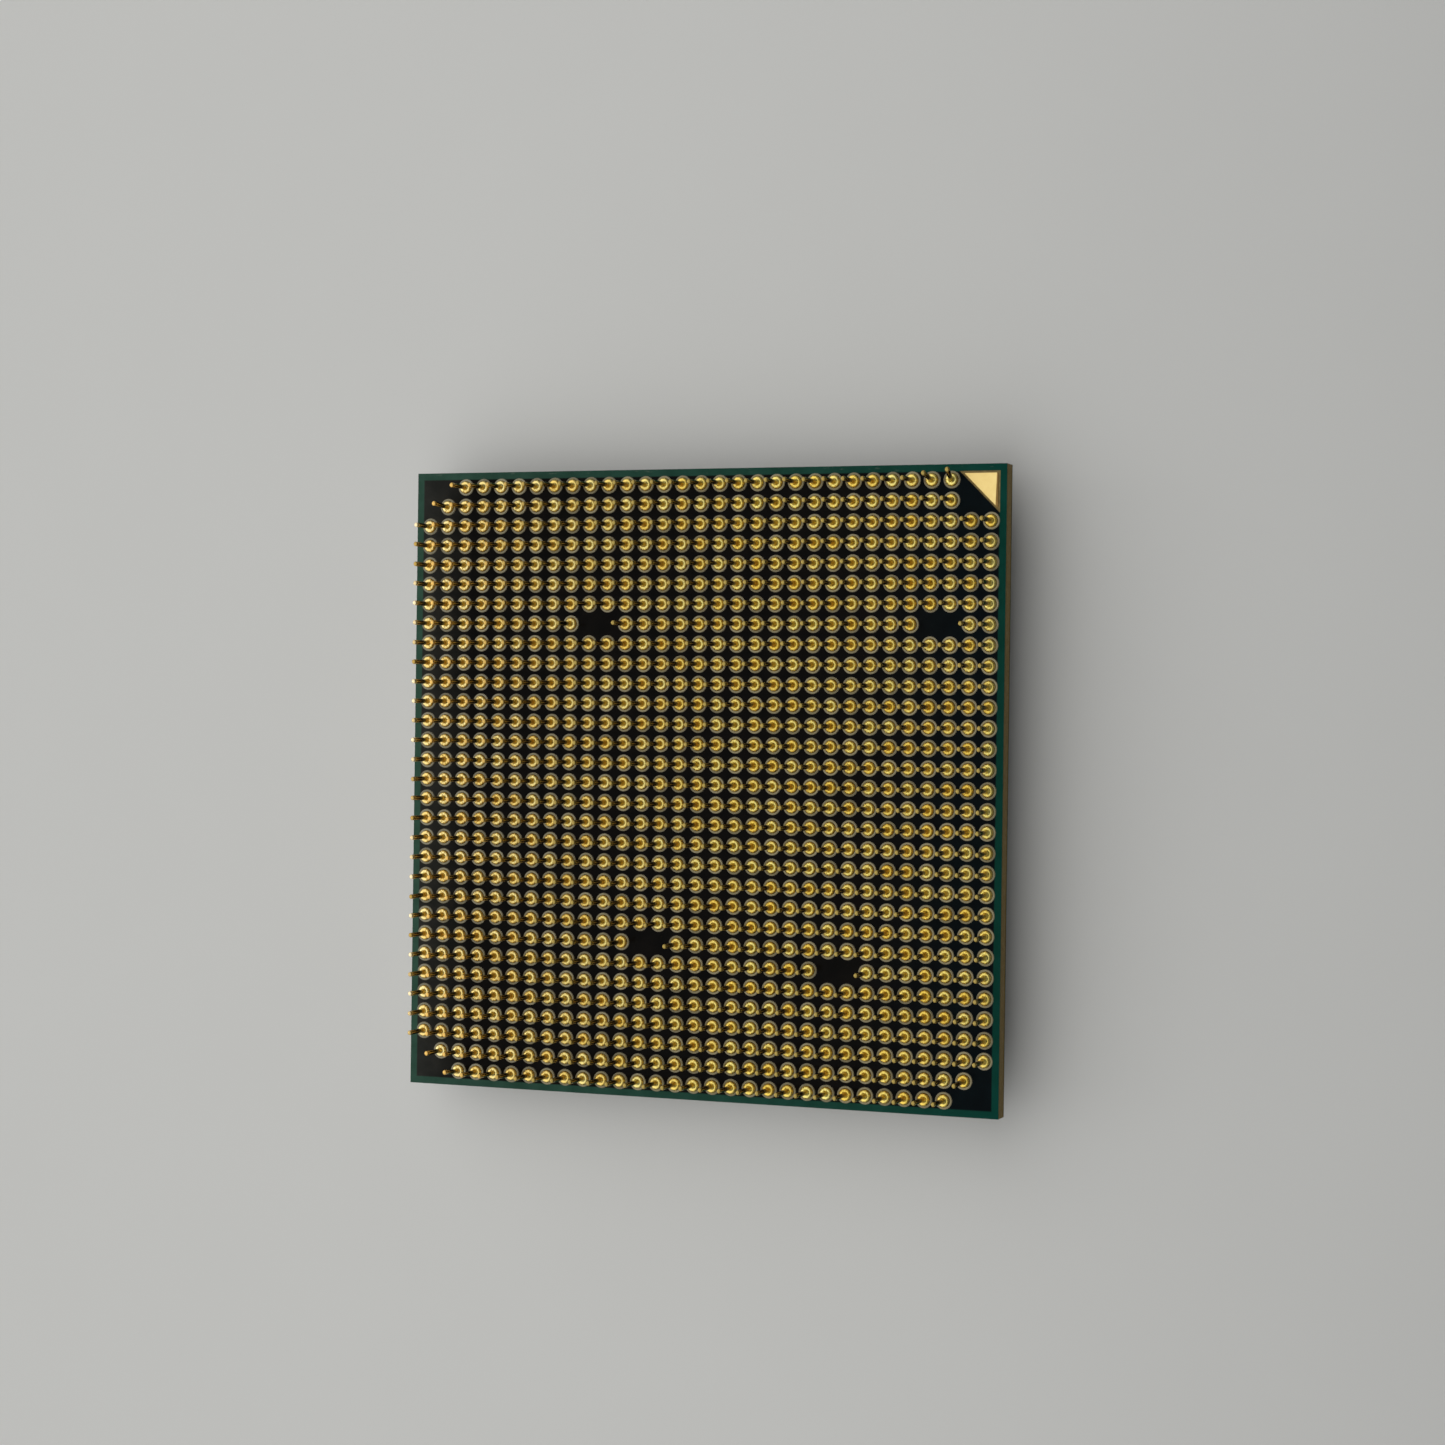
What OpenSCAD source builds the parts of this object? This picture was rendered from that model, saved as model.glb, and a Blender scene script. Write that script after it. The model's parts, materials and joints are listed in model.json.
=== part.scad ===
// Pin-grid processor package: an organic substrate with contact pins, a flip-chip die and a metal lid.
// The package lies on its lid. z = 0 is the lid's outer face, and the pins point up, towards +Z.
// Pin rows run along X and are lettered from +Y to -Y. Columns are numbered from -X to +X.
// The corner marks are at the +X, +Y corner.

/* [Substrate] */
// Distance from the centres of the outermost pins to the substrate's edge
edge_margin = 0.95; // [0.85:0.05:4]
// Thickness of the glass-fibre core
core_t = 0.8; // [0.4:0.05:1.6]
// Thickness of the wiring build-up on each side of the core
buildup_t = 0.16; // [0.08:0.02:0.4]
// Thickness of the copper planes laid into the build-up
plane_t = 0.035; // [0.01:0.005:0.06]
// Distance from the substrate's edge to the copper planes
plane_inset = 0.45; // [0.2:0.05:1]
// Thickness of the solder mask on each side
mask_t = 0.04; // [0.02:0.01:0.1]

/* [Contact pins] */
// Distance between neighbouring pins
pitch = 1.27; // [1.2:0.01:1.5]
// Diameter of a pin's shaft
pin_d = 0.305; // [0.25:0.005:0.4]
// Height of the pin tips above the substrate
pin_l = 2.16; // [1.5:0.02:3.2]
// Width of the bevel round a pin's tip
tip_bevel = 0.06; // [0.02:0.01:0.1]
// Diameter of a pin's nail head
head_d = 0.76; // [0.64:0.01:0.8]
// Thickness of a pin's nail head against the shaft
head_t = 0.25; // [0.2:0.01:0.3]
// Height of the nail head's upright rim
head_rim_h = 0.14; // [0.1:0.01:0.15]
// Width of the bevel round the nail head
head_bevel = 0.04; // [0.01:0.01:0.05]
// Diameter of the land that carries a pin
land_d = 1.08; // [0.98:0.01:1.12]
// Distance from the land's rim to the foot of the solder
solder_margin = 0.02; // [0:0.01:0.05]
// Height of the solder at its outer rim
solder_rim_h = 0.03; // [0.01:0.01:0.05]
// Width of the collar where the solder climbs to the nail head
solder_collar = 0.06; // [0.02:0.01:0.08]
// Height of the solder at the foot of that collar
solder_collar_z = 0.04; // [0.02:0.01:0.05]
// Distance from the top of the solder to the nail head's bevel
solder_drop = 0.01; // [0:0.01:0.03]

/* [Corner marks] */
// Length of the two short sides of the mark on the pin side
pin_mark_leg = 2.2; // [1:0.1:2.4]
// Distance from the substrate's edges to the mark on the pin side
pin_mark_inset = 0.54; // [0.3:0.02:1]
// Length of the two short sides of the mark on the lid side
lid_mark_leg = 1.5; // [0.8:0.1:1.8]
// Distance from the substrate's edges to the mark on the lid side
lid_mark_inset = 0.35; // [0.3:0.05:0.5]
// Bare strip between a mark and the solder mask round it
mark_gap = 0.12; // [0.05:0.01:0.2]

/* [Lid] */
// Distance from the substrate's edge to the lid's flange
lid_inset = 1.3; // [1.2:0.1:1.6]
// Corner radius of the flange
lid_r = 2; // [1.2:0.1:3]
// Height of the lid
lid_h = 2.9; // [2.3:0.1:4]
// Thickness of the flange
flange_t = 1.4; // [1.1:0.1:2]
// Step from the flange's edge to the raised face
flange_step = 0.7; // [0.4:0.1:2]
// Width of the bevel round the raised face
lid_bevel = 0.25; // [0.1:0.05:0.35]
// Width of the bevel round the flange
flange_bevel = 0.15; // [0.05:0.05:0.3]
// Width of the flange that surrounds the hollow under the lid
lid_wall = 4.2; // [3.2:0.1:5]
// Corner radius of the hollow
cavity_r = 2; // [1:0.5:4]
// Depth of the hollow
cavity_depth = 0.9; // [0.85:0.01:1.2]
// Thickness of the sealant under the flange
sealant_t = 0.15; // [0.1:0.01:0.3]
// Distance from the flange's edge, and from the hollow, to the sealant
sealant_margin = 0.4; // [0:0.05:0.8]
// Width of the vent gap in the sealant
vent_w = 3; // [1:0.5:6]

/* [Die] */
// Length of the die along X
die_x = 14.6; // [10:0.1:15]
// Width of the die along Y
die_y = 12.6; // [10:0.1:13]
// Thickness of the die
die_t = 0.78; // [0.5:0.01:0.8]
// Height of the solder bumps between die and substrate
bump_h = 0.09; // [0.06:0.01:0.12]
// Diameter of a solder bump
bump_d = 0.16; // [0.1:0.01:0.3]
// Distance between neighbouring solder bumps
bump_pitch = 1.1; // [0.9:0.05:1.6]
// Width of the underfill's foot beyond the die
underfill_foot = 0.6; // [0.3:0.05:0.9]
// Height that the underfill climbs up the die's sides
underfill_climb = 0.3; // [0.1:0.05:0.45]

/* [Capacitors] */
// Length of a chip capacitor over its terminals
cap_l = 2; // [1.6:0.1:2.2]
// Width of a chip capacitor
cap_w = 1.25; // [0.8:0.05:1.3]
// Height of a chip capacitor
cap_h = 0.6; // [0.3:0.05:0.75]
// Length of one capacitor terminal
cap_end = 0.35; // [0.2:0.05:0.5]
// Distance between neighbouring capacitors
cap_pitch = 2.9; // [2.6:0.1:3]
// Clear distance from the underfill to the capacitors
cap_gap = 1.2; // [0.6:0.1:1.5]

/* [Hidden] */
$fn = 48;
grid_n = 31;
substrate_w = (grid_n - 1) * pitch + 2 * edge_margin;
lid_w = substrate_w - 2 * lid_inset;
cavity_w = lid_w - 2 * lid_wall;
// Row names leave out the letters that are easily misread
row_letters = ["a", "b", "c", "d", "e", "f", "g", "h", "j", "k", "l", "m", "n", "p", "r", "t", "u",
               "v", "w", "y", "aa", "ab", "ac", "ad", "ae", "af", "ag", "ah", "aj", "ak", "al"];
// Grid places that hold no pin, as [row, columns], counted from 1: they key the part to its socket
empty_places = [
    [1, [1, 2, grid_n - 1, grid_n]],
    [2, [1, grid_n - 1, grid_n]],
    [8, [10, 11, 28, 29]],
    [24, [13, 14]],
    [25, [23, 24]],
    [grid_n - 1, [1, grid_n]],
    [grid_n, [1, 2, grid_n - 1, grid_n]],
];
caps_beside = 5;
bumps_x = floor((die_x - bump_pitch) / bump_pitch) + 1;
bumps_y = floor((die_y - bump_pitch) / bump_pitch) + 1;

// Levels, from the lid's outer face upwards
cavity_z = lid_h - cavity_depth;
lid_side_z = lid_h + sealant_t;
lower_buildup_z = lid_side_z + mask_t;
core_z = lower_buildup_z + buildup_t;
upper_buildup_z = core_z + core_t;
upper_mask_z = upper_buildup_z + buildup_t;
pin_side_z = upper_mask_z + mask_t;
bump_z = lower_buildup_z - mask_t - bump_h;
die_z = bump_z - die_t;

plane_w = substrate_w - 2 * plane_inset;
window_x = die_x + 2 * underfill_foot;
window_y = die_y + 2 * underfill_foot;
overrun = 0.5;

function is_empty(row, column) =
    len([for (place = empty_places) if (place[0] == row && len(search(column, place[1])) > 0) 1]) > 0;
function grid_x(column) = (column - (grid_n + 1) / 2) * pitch;
function grid_y(row) = ((grid_n + 1) / 2 - row) * pitch;

// Puts its children at every place of one row that holds a pin
module along_row(row) {
    for (column = [1 : grid_n])
        if (!is_empty(row, column))
            translate([grid_x(column), grid_y(row), 0])
                children();
}

// Puts its children at every place of the grid that holds a pin
module over_grid() {
    for (row = [1 : grid_n])
        along_row(row)
            children();
}

// Square plate centred on the Z axis
module plate(w, t) {
    translate([-w / 2, -w / 2, 0])
        cube([w, w, t]);
}

module slab(x, y, t) {
    translate([-x / 2, -y / 2, 0])
        cube([x, y, t]);
}

// Square block with round corners, bevelled round its lower face
module bevelled_block(w, r, h, bevel) {
    straight = w - 2 * r;
    edge = [[0, 0], [r - bevel, 0], [r, bevel], [r, h], [0, h]];
    section = [
        [-w / 2 + bevel, 0], [w / 2 - bevel, 0], [w / 2, bevel],
        [w / 2, h], [-w / 2, h], [-w / 2, bevel],
    ];
    for (turn = [0, 90])
        rotate([90, 0, turn])
            linear_extrude(straight, center = true)
                polygon(section);
    for (x = [-1, 1], y = [-1, 1])
        translate([x * straight / 2, y * straight / 2, 0])
            rotate_extrude()
                polygon(edge);
}

// Outline of a square with round corners
module rounded_square(w, r) {
    square([w, w - 2 * r], center = true);
    square([w - 2 * r, w], center = true);
    for (x = [-1, 1], y = [-1, 1])
        translate([x * (w / 2 - r), y * (w / 2 - r)])
            circle(r);
}

// Outline of a corner mark: a right angle that points at the +X, +Y corner, grown by a margin on all sides
module mark_outline(leg, inset, grow) {
    corner = substrate_w / 2 - inset + grow;
    long = leg + grow * (2 + sqrt(2));
    polygon([[corner, corner], [corner - long, corner], [corner, corner - long]]);
}

module heat_spreader() {
    color("silver")
        difference() {
            union() {
                bevelled_block(lid_w - 2 * flange_step, lid_r, lid_h, lid_bevel);
                translate([0, 0, lid_h - flange_t])
                    bevelled_block(lid_w, lid_r, flange_t, flange_bevel);
            }
            translate([0, 0, cavity_z])
                linear_extrude(cavity_depth + overrun)
                    rounded_square(cavity_w, cavity_r);
        }
}

module lid_sealant() {
    outer_w = lid_w - 2 * sealant_margin;
    inner_w = cavity_w + 2 * sealant_margin;
    color("dimgray")
        translate([0, 0, lid_h])
            linear_extrude(sealant_t)
                difference() {
                    rounded_square(outer_w, lid_r);
                    rounded_square(inner_w, cavity_r);
                    translate([-vent_w / 2, -outer_w / 2 - overrun])
                        square([vent_w, (outer_w - inner_w) / 2 + 2 * overrun]);
                }
}

module thermal_solder() {
    color("lightsteelblue")
        translate([0, 0, cavity_z])
            slab(die_x, die_y, die_z - cavity_z);
}

module silicon_die() {
    color("slategray")
        translate([0, 0, die_z])
            slab(die_x, die_y, die_t);
}

module bump_field(d, h) {
    for (i = [0 : bumps_x - 1], j = [0 : bumps_y - 1])
        translate([(i - (bumps_x - 1) / 2) * bump_pitch, (j - (bumps_y - 1) / 2) * bump_pitch, 0])
            cylinder(d = d, h = h);
}

module die_bumps() {
    color("gainsboro")
        translate([0, 0, bump_z])
            bump_field(bump_d, bump_h + mask_t);
}

// One direction of the underfill's sloping sides, across a die of the given width
module underfill_slope(w, length) {
    top = bump_h + mask_t;
    rotate([90, 0, 0])
        linear_extrude(length, center = true)
            polygon([
                [-w / 2 - underfill_foot, top], [-w / 2 - underfill_foot, bump_h],
                [-w / 2, -underfill_climb], [w / 2, -underfill_climb],
                [w / 2 + underfill_foot, bump_h], [w / 2 + underfill_foot, top],
            ]);
}

module underfill() {
    color("darkslateblue")
        translate([0, 0, bump_z])
            difference() {
                intersection() {
                    underfill_slope(die_x, window_y);
                    rotate(90)
                        underfill_slope(die_y, window_x);
                }
                translate([0, 0, -die_t])
                    slab(die_x, die_y, die_t);
                bump_field(bump_d, bump_h + mask_t);
            }
}

// Puts its children at each chip capacitor, long side along X
module at_capacitors() {
    row_y = window_y / 2 + cap_gap + cap_w / 2;
    column_x = window_x / 2 + cap_gap + cap_w / 2;
    for (i = [0 : caps_beside - 1]) {
        along = (i - (caps_beside - 1) / 2) * cap_pitch;
        for (side = [-1, 1]) {
            translate([along, side * row_y, lid_side_z - cap_h])
                children();
            translate([side * column_x, along, lid_side_z - cap_h])
                rotate(90)
                    children();
        }
    }
}

module capacitor_bodies() {
    color("burlywood")
        at_capacitors()
            slab(cap_l - 2 * cap_end, cap_w, cap_h);
}

module capacitor_terminals() {
    color("lightgray")
        at_capacitors()
            for (side = [-1, 1])
                translate([side * (cap_l - cap_end) / 2, 0, 0])
                    slab(cap_end, cap_w, cap_h);
}

module lid_side_mask() {
    color("darkgreen")
        translate([0, 0, lid_side_z])
            linear_extrude(mask_t)
                difference() {
                    square(substrate_w, center = true);
                    square([window_x, window_y], center = true);
                    mark_outline(lid_mark_leg, lid_mark_inset, mark_gap);
                }
}

module lid_side_mark() {
    color("gold")
        translate([0, 0, lid_side_z])
            linear_extrude(mask_t)
                mark_outline(lid_mark_leg, lid_mark_inset, 0);
}

module lid_side_buildup() {
    color("olive")
        translate([0, 0, lower_buildup_z])
            difference() {
                plate(substrate_w, buildup_t);
                translate([0, 0, buildup_t - plane_t])
                    plate(plane_w, plane_t + overrun);
            }
}

module ground_plane() {
    color("peru")
        translate([0, 0, core_z - plane_t])
            plate(plane_w, plane_t);
}

module substrate_core() {
    color("darkkhaki")
        translate([0, 0, core_z])
            plate(substrate_w, core_t);
}

module power_plane() {
    color("peru")
        translate([0, 0, upper_buildup_z])
            plate(plane_w, plane_t);
}

module pin_side_buildup() {
    color("olive")
        translate([0, 0, upper_buildup_z])
            difference() {
                plate(substrate_w, buildup_t);
                translate([0, 0, -overrun])
                    plate(plane_w, plane_t + overrun);
            }
}

module pin_side_mask() {
    color("darkgreen")
        translate([0, 0, upper_mask_z])
            linear_extrude(mask_t)
                difference() {
                    square(substrate_w, center = true);
                    mark_outline(pin_mark_leg, pin_mark_inset, mark_gap);
                    over_grid()
                        circle(d = land_d);
                }
}

module pin_side_mark() {
    color("gold")
        translate([0, 0, upper_mask_z])
            linear_extrude(mask_t)
                mark_outline(pin_mark_leg, pin_mark_inset, 0);
}

module pin_lands() {
    color("goldenrod")
        over_grid()
            translate([0, 0, upper_mask_z])
                cylinder(d = land_d, h = mask_t);
}

// Rings of solder that hold the nail heads on their lands: nearly flat, with a collar that climbs the head
module pin_solder() {
    head_r = head_d / 2;
    foot_r = land_d / 2 - solder_margin;
    color("lightgray")
        over_grid()
            translate([0, 0, pin_side_z])
                rotate_extrude()
                    polygon([
                        [head_r, 0], [foot_r, 0], [foot_r, solder_rim_h],
                        [head_r + solder_collar, solder_collar_z],
                        [head_r, head_rim_h - solder_drop],
                    ]);
}

// Pin with a nail head whose top slopes up to the shaft
module contact_pin() {
    head_r = head_d / 2;
    shaft_r = pin_d / 2;
    rotate_extrude()
        polygon([
            [0, 0], [head_r, 0], [head_r, head_rim_h],
            [head_r - head_bevel, head_rim_h + head_bevel], [shaft_r, head_t],
            [shaft_r, pin_l - tip_bevel], [shaft_r - tip_bevel, pin_l], [0, pin_l],
        ]);
}

module pin_row(row) {
    color("gold")
        translate([0, 0, pin_side_z])
            along_row(row)
                contact_pin();
}

heat_spreader();
lid_sealant();
thermal_solder();
silicon_die();
die_bumps();
underfill();
capacitor_bodies();
capacitor_terminals();
lid_side_mask();
lid_side_mark();
lid_side_buildup();
ground_plane();
substrate_core();
power_plane();
pin_side_buildup();
pin_side_mask();
pin_side_mark();
pin_lands();
pin_solder();
for (row = [1 : grid_n])
    pin_row(row);
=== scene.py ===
# %% [markdown]
# # A pin-grid processor package, lying on its lid
# The package is a square laminate board. A metal lid is glued to one side and 940 gold pins stand on the
# other. Here it lies on the lid, so the pins are what the eye meets first.
# The measured model comes in first as a fixed frame. Every new piece takes its place and size from it,
# so nothing has to be fitted by eye.

# %% Load the measured frame
import json
import math
import random

import bmesh
import bpy
from mathutils import Matrix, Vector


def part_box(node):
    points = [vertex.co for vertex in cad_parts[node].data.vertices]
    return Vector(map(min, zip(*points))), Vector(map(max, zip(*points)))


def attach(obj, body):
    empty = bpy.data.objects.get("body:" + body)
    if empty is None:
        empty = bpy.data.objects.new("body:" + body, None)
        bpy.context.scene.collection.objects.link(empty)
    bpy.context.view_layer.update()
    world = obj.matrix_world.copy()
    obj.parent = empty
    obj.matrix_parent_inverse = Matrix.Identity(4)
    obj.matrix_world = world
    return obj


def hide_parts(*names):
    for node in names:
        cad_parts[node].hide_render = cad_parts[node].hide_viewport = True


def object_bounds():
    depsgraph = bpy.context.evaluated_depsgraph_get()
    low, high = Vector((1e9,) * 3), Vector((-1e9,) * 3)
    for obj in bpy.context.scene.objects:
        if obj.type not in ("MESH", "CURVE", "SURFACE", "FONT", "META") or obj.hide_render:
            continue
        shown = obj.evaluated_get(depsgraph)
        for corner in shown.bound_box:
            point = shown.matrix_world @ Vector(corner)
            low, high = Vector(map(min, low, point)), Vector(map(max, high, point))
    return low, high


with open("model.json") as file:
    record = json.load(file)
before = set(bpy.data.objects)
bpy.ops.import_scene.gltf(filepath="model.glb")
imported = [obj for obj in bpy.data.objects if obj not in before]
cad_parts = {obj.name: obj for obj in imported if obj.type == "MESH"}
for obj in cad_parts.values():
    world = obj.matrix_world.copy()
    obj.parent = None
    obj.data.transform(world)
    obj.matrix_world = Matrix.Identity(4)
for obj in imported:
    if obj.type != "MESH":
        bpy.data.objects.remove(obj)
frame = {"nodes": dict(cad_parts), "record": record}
cad_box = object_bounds()
print("measured size in mm:", [round(1000 * (hi - lo), 2) for lo, hi in zip(*cad_box)])

# %% [markdown]
# ## Reading the sizes that the pieces share
# A pin site repeats 940 times, so a few values place them all: the pitch of the grid, the level of the
# board's face, and the radii of shaft, nail head and land. They are read off the measured solids instead
# of being typed in, so a change there carries over to here. Only the head's rounding, which the measured
# model leaves plain, has heights of its own.

# %% Shared sizes
MM = 0.001
ROW_NODES = [name for name in frame["nodes"] if name.startswith("pin_row_")]
ROW_NODES.sort(key=lambda name: -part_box(name)[0][1])
GRID_N = len(ROW_NODES)


def middle(name, axis):
    low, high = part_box(name)
    return (low[axis] + high[axis]) / 2


PITCH = (middle(ROW_NODES[0], 1) - middle(ROW_NODES[-1], 1)) / (GRID_N - 1)
FACE_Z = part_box(ROW_NODES[0])[0][2]
TIP_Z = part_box(ROW_NODES[0])[1][2]
HEAD_R = (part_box(ROW_NODES[0])[1][1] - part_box(ROW_NODES[0])[0][1]) / 2
PIN_MOUNTS = [mount for mount in frame["record"]["mounts"] if mount["kind"] == "pin"]
SHAFT_R = PIN_MOUNTS[0]["dims"]["r_mm"] * MM
HALF_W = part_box("substrate_core")[1][0]
PLANE_HALF_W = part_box("power_plane")[1][0]
# The heights of the nail head's rings above the board, from its rim up to where the plain wire starts.
HEAD_RIM = 0.14 * MM
SHOULDER = 0.175 * MM
CREST = 0.198 * MM
FILLET = 0.235 * MM
ROOT = 0.33 * MM
print("pitch", round(PITCH / MM, 3), "face", round(FACE_Z / MM, 3), "head radius", round(HEAD_R / MM, 3))

# %% [markdown]
# ## Which grid places hold a pin
# Some places are left empty so that the part fits its socket one way round only. The measured rows know
# which: every pin's tip has corners at its column, so the columns are counted from those corners.

# %% Find the pins in each row


def pin_columns(name):
    """The column offsets from the middle, in whole pitches, that hold a pin in this row."""
    mesh = frame["nodes"][name].data
    tops = [vertex.co.x for vertex in mesh.vertices if vertex.co.z > TIP_Z - 0.01 * MM]
    return sorted({round(x / PITCH) for x in tops})


ROWS = [(name, middle(name, 1), pin_columns(name)) for name in ROW_NODES]
SITES = [(column * PITCH, y) for _, y, columns in ROWS for column in columns]
print(len(SITES), "pins in", GRID_N, "rows")

# %% [markdown]
# ## Small helpers for modelling by hand
# A primitive is added, opened in edit mode and shaped with the same tools a modeller clicks. Faces are
# picked by where they are or which way they look, because a script has no mouse. The operators act on
# whatever is selected, so everything is deselected first.

# %% Selection and edit-mode helpers
CREASE = 0.4


def deselect_all():
    for other in bpy.context.selected_objects:
        other.select_set(False)


def make_active(thing):
    deselect_all()
    thing.select_set(True)
    bpy.context.view_layer.objects.active = thing


def pick_faces(thing, test):
    """Select just the faces for which test(centre, normal) is true, in edit mode."""
    bpy.ops.mesh.select_all(action="DESELECT")
    edit = bmesh.from_edit_mesh(thing.data)
    for face in edit.faces:
        face.select_set(bool(test(face.calc_center_median(), face.normal)))
    bmesh.update_edit_mesh(thing.data)


def pick_edges(thing, test):
    """Select just the edges folded by more than CREASE radians for which test(one end, other end) is true."""
    bpy.ops.mesh.select_mode(type="EDGE")
    bpy.ops.mesh.select_all(action="DESELECT")
    edit = bmesh.from_edit_mesh(thing.data)
    for edge in edit.edges:
        first, last = edge.verts
        edge.select_set(edge.calc_face_angle(0.0) > CREASE and bool(test(first.co, last.co)))
    edit.select_flush_mode()
    bmesh.update_edit_mesh(thing.data)


def settle(thing):
    """Give the piece's turn, size and place to its mesh, so that its object sits at the origin."""
    make_active(thing)
    bpy.ops.object.transform_apply(location=True, rotation=True, scale=True)


def pull_top(inward, upward):
    """Step the top face in and up, as one ring of a turned profile."""
    bpy.ops.mesh.inset(thickness=inward, depth=upward, use_even_offset=False)


def draw_up(height):
    bpy.ops.mesh.extrude_region_move(TRANSFORM_OT_translate={"value": (0, 0, height)})


def apply_modifiers(thing):
    make_active(thing)
    for modifier in list(thing.modifiers):
        bpy.ops.object.modifier_apply(modifier=modifier.name)


def finish_piece(thing, name, node_names, finish):
    thing.name = name
    thing.data.name = name
    thing.data.materials.clear()
    thing.data.materials.append(finish)
    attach(thing, "root")
    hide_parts(*node_names)


# %% [markdown]
# ## Finishes
# Each finish is a small node network on Object coordinates, which are metres here, so a noise scale of
# 1000 gives a pattern about a millimetre across. Small builders keep the networks short: each adds one kind
# of node and gives back its output.

# %% Node helpers


def new_finish(name, **settings):
    finish = bpy.data.materials.new(name)
    finish.use_nodes = True
    shader = finish.node_tree.nodes["Principled BSDF"]
    for socket, value in settings.items():
        shader.inputs[socket.replace("_", " ")].default_value = value
    return finish, finish.node_tree, shader


def add(tree, kind, **settings):
    node = tree.nodes.new(kind)
    for key, value in settings.items():
        setattr(node, key, value)
    return node


def place_on_object(tree):
    return add(tree, "ShaderNodeTexCoord").outputs["Object"]


def noise(tree, where, scale, detail, roughness=0.55):
    node = add(tree, "ShaderNodeTexNoise")
    node.inputs["Scale"].default_value = scale
    node.inputs["Detail"].default_value = detail
    node.inputs["Roughness"].default_value = roughness
    tree.links.new(where, node.inputs["Vector"])
    return node.outputs["Fac"]


def stretch(tree, where, scale):
    node = add(tree, "ShaderNodeMapping")
    node.inputs["Scale"].default_value = scale
    tree.links.new(where, node.inputs["Vector"])
    return node.outputs["Vector"]


def remap(tree, value, low, high, to_low, to_high, smooth=False):
    node = add(tree, "ShaderNodeMapRange", interpolation_type="SMOOTHSTEP" if smooth else "LINEAR")
    tree.links.new(value, node.inputs["Value"])
    for socket, number in zip(("From Min", "From Max", "To Min", "To Max"), (low, high, to_low, to_high)):
        node.inputs[socket].default_value = number
    return node.outputs["Result"]


def calc(tree, operation, first, second=None):
    node = add(tree, "ShaderNodeMath", operation=operation)
    for socket, value in zip(node.inputs, (first, second)):
        if isinstance(value, (int, float)):
            socket.default_value = value
        elif value is not None:
            tree.links.new(value, socket)
    return node.outputs["Value"]


def coordinate(tree, where, axis):
    """One number of a place or direction: 0 for x, 1 for y, 2 for z."""
    parts = add(tree, "ShaderNodeSeparateXYZ")
    tree.links.new(where, parts.inputs[0])
    return parts.outputs[axis]


def across(tree, where):
    """0 at the board's -X edge, 1 at its +X edge."""
    return remap(tree, coordinate(tree, where, 0), -HALF_W, HALF_W, 0.0, 1.0)


def own_tone(tree):
    """The value from 0 to 1 that each pin and each solder ring carries."""
    return add(tree, "ShaderNodeAttribute", attribute_name="tone").outputs["Fac"]


def mix_number(tree, factor, first, second):
    node = add(tree, "ShaderNodeMix")
    for socket, value in zip((node.inputs[0], node.inputs[2], node.inputs[3]), (factor, first, second)):
        tree.links.new(value, socket)
    return node.outputs[0]


def mix_colour(tree, factor, first, second):
    node = add(tree, "ShaderNodeMix", data_type="RGBA")
    for socket, value in zip((node.inputs[0], node.inputs[6], node.inputs[7]), (factor, first, second)):
        if isinstance(value, tuple):
            socket.default_value = (*value, 1.0)
        else:
            tree.links.new(value, socket)
    return node.outputs[2]


def bump(tree, shader, height, distance, strength):
    node = add(tree, "ShaderNodeBump")
    node.inputs["Strength"].default_value = strength
    node.inputs["Distance"].default_value = distance
    tree.links.new(height, node.inputs["Height"])
    tree.links.new(node.outputs["Normal"], shader.inputs["Normal"])


# %% [markdown]
# ### Gold on the pins
# The pins are drawn wire with a thin gold plating. Gold is a metal, so its colour comes from what it
# reflects. The nail heads are bright. Higher up, the wire is painted dark brown, a painted shade for the dark
# board and pins that it reflects. The tip has been rubbed in a socket and is rougher, and its colour is
# painted
# light: a bright painted glint at the -X edge and painted shade further in. No two pins are plated or handled
# quite alike, so each carries a value of its own, called tone. The gold is also painted paler at the -X edge,
# as painted light from that side, and deeper yellow towards +X, a painted reflection of the pins round it.
# One material does all of this from height, side and tone, so that a row of pins stays one piece with one
# slot.

# %% Pin gold
# Over this height band the wire is painted dark brown, a painted shade for the dark board and pins that it
# reflects.
WIRE_PAINTED_DARK = (FACE_Z + 0.7 * MM, FACE_Z + 1.3 * MM)
# Over this height band the tip is worn and rougher, and its colour is painted light.
TIP_WORN_AND_PAINTED = (TIP_Z - 0.36 * MM, TIP_Z - 0.12 * MM)
ROOT_MATT = (FACE_Z + ROOT, FACE_Z + 0.9 * MM)
STAIN = (0.40, 0.23, 0.05)


def colour_head(tree, tone, side):
    # Painted light: towards the -X edge the gold is painted paler, as the light from that side makes it, and
    # further in a deeper yellow, a painted reflection of the gold round it.
    near = mix_colour(tree, tone, (0.94, 0.68, 0.22), (1.0, 0.83, 0.38))
    far = mix_colour(tree, tone, (0.98, 0.70, 0.12), (1.0, 0.87, 0.28))
    return mix_colour(tree, remap(tree, side, 0.0, 0.6, 0.0, 1.0), near, far)


def colour_wire(tree, tone, height):
    low_wire = mix_colour(tree, tone, (0.96, 0.70, 0.21), (1.0, 0.84, 0.34))
    # Painted shade: the upper wire is painted dark brown for the dark board that it reflects.
    wire_painted_dark = mix_colour(tree, tone, (0.27, 0.165, 0.034), (0.46, 0.30, 0.070))
    return mix_colour(tree, remap(tree, height, *WIRE_PAINTED_DARK, 0.0, 1.0), low_wire, wire_painted_dark)


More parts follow.
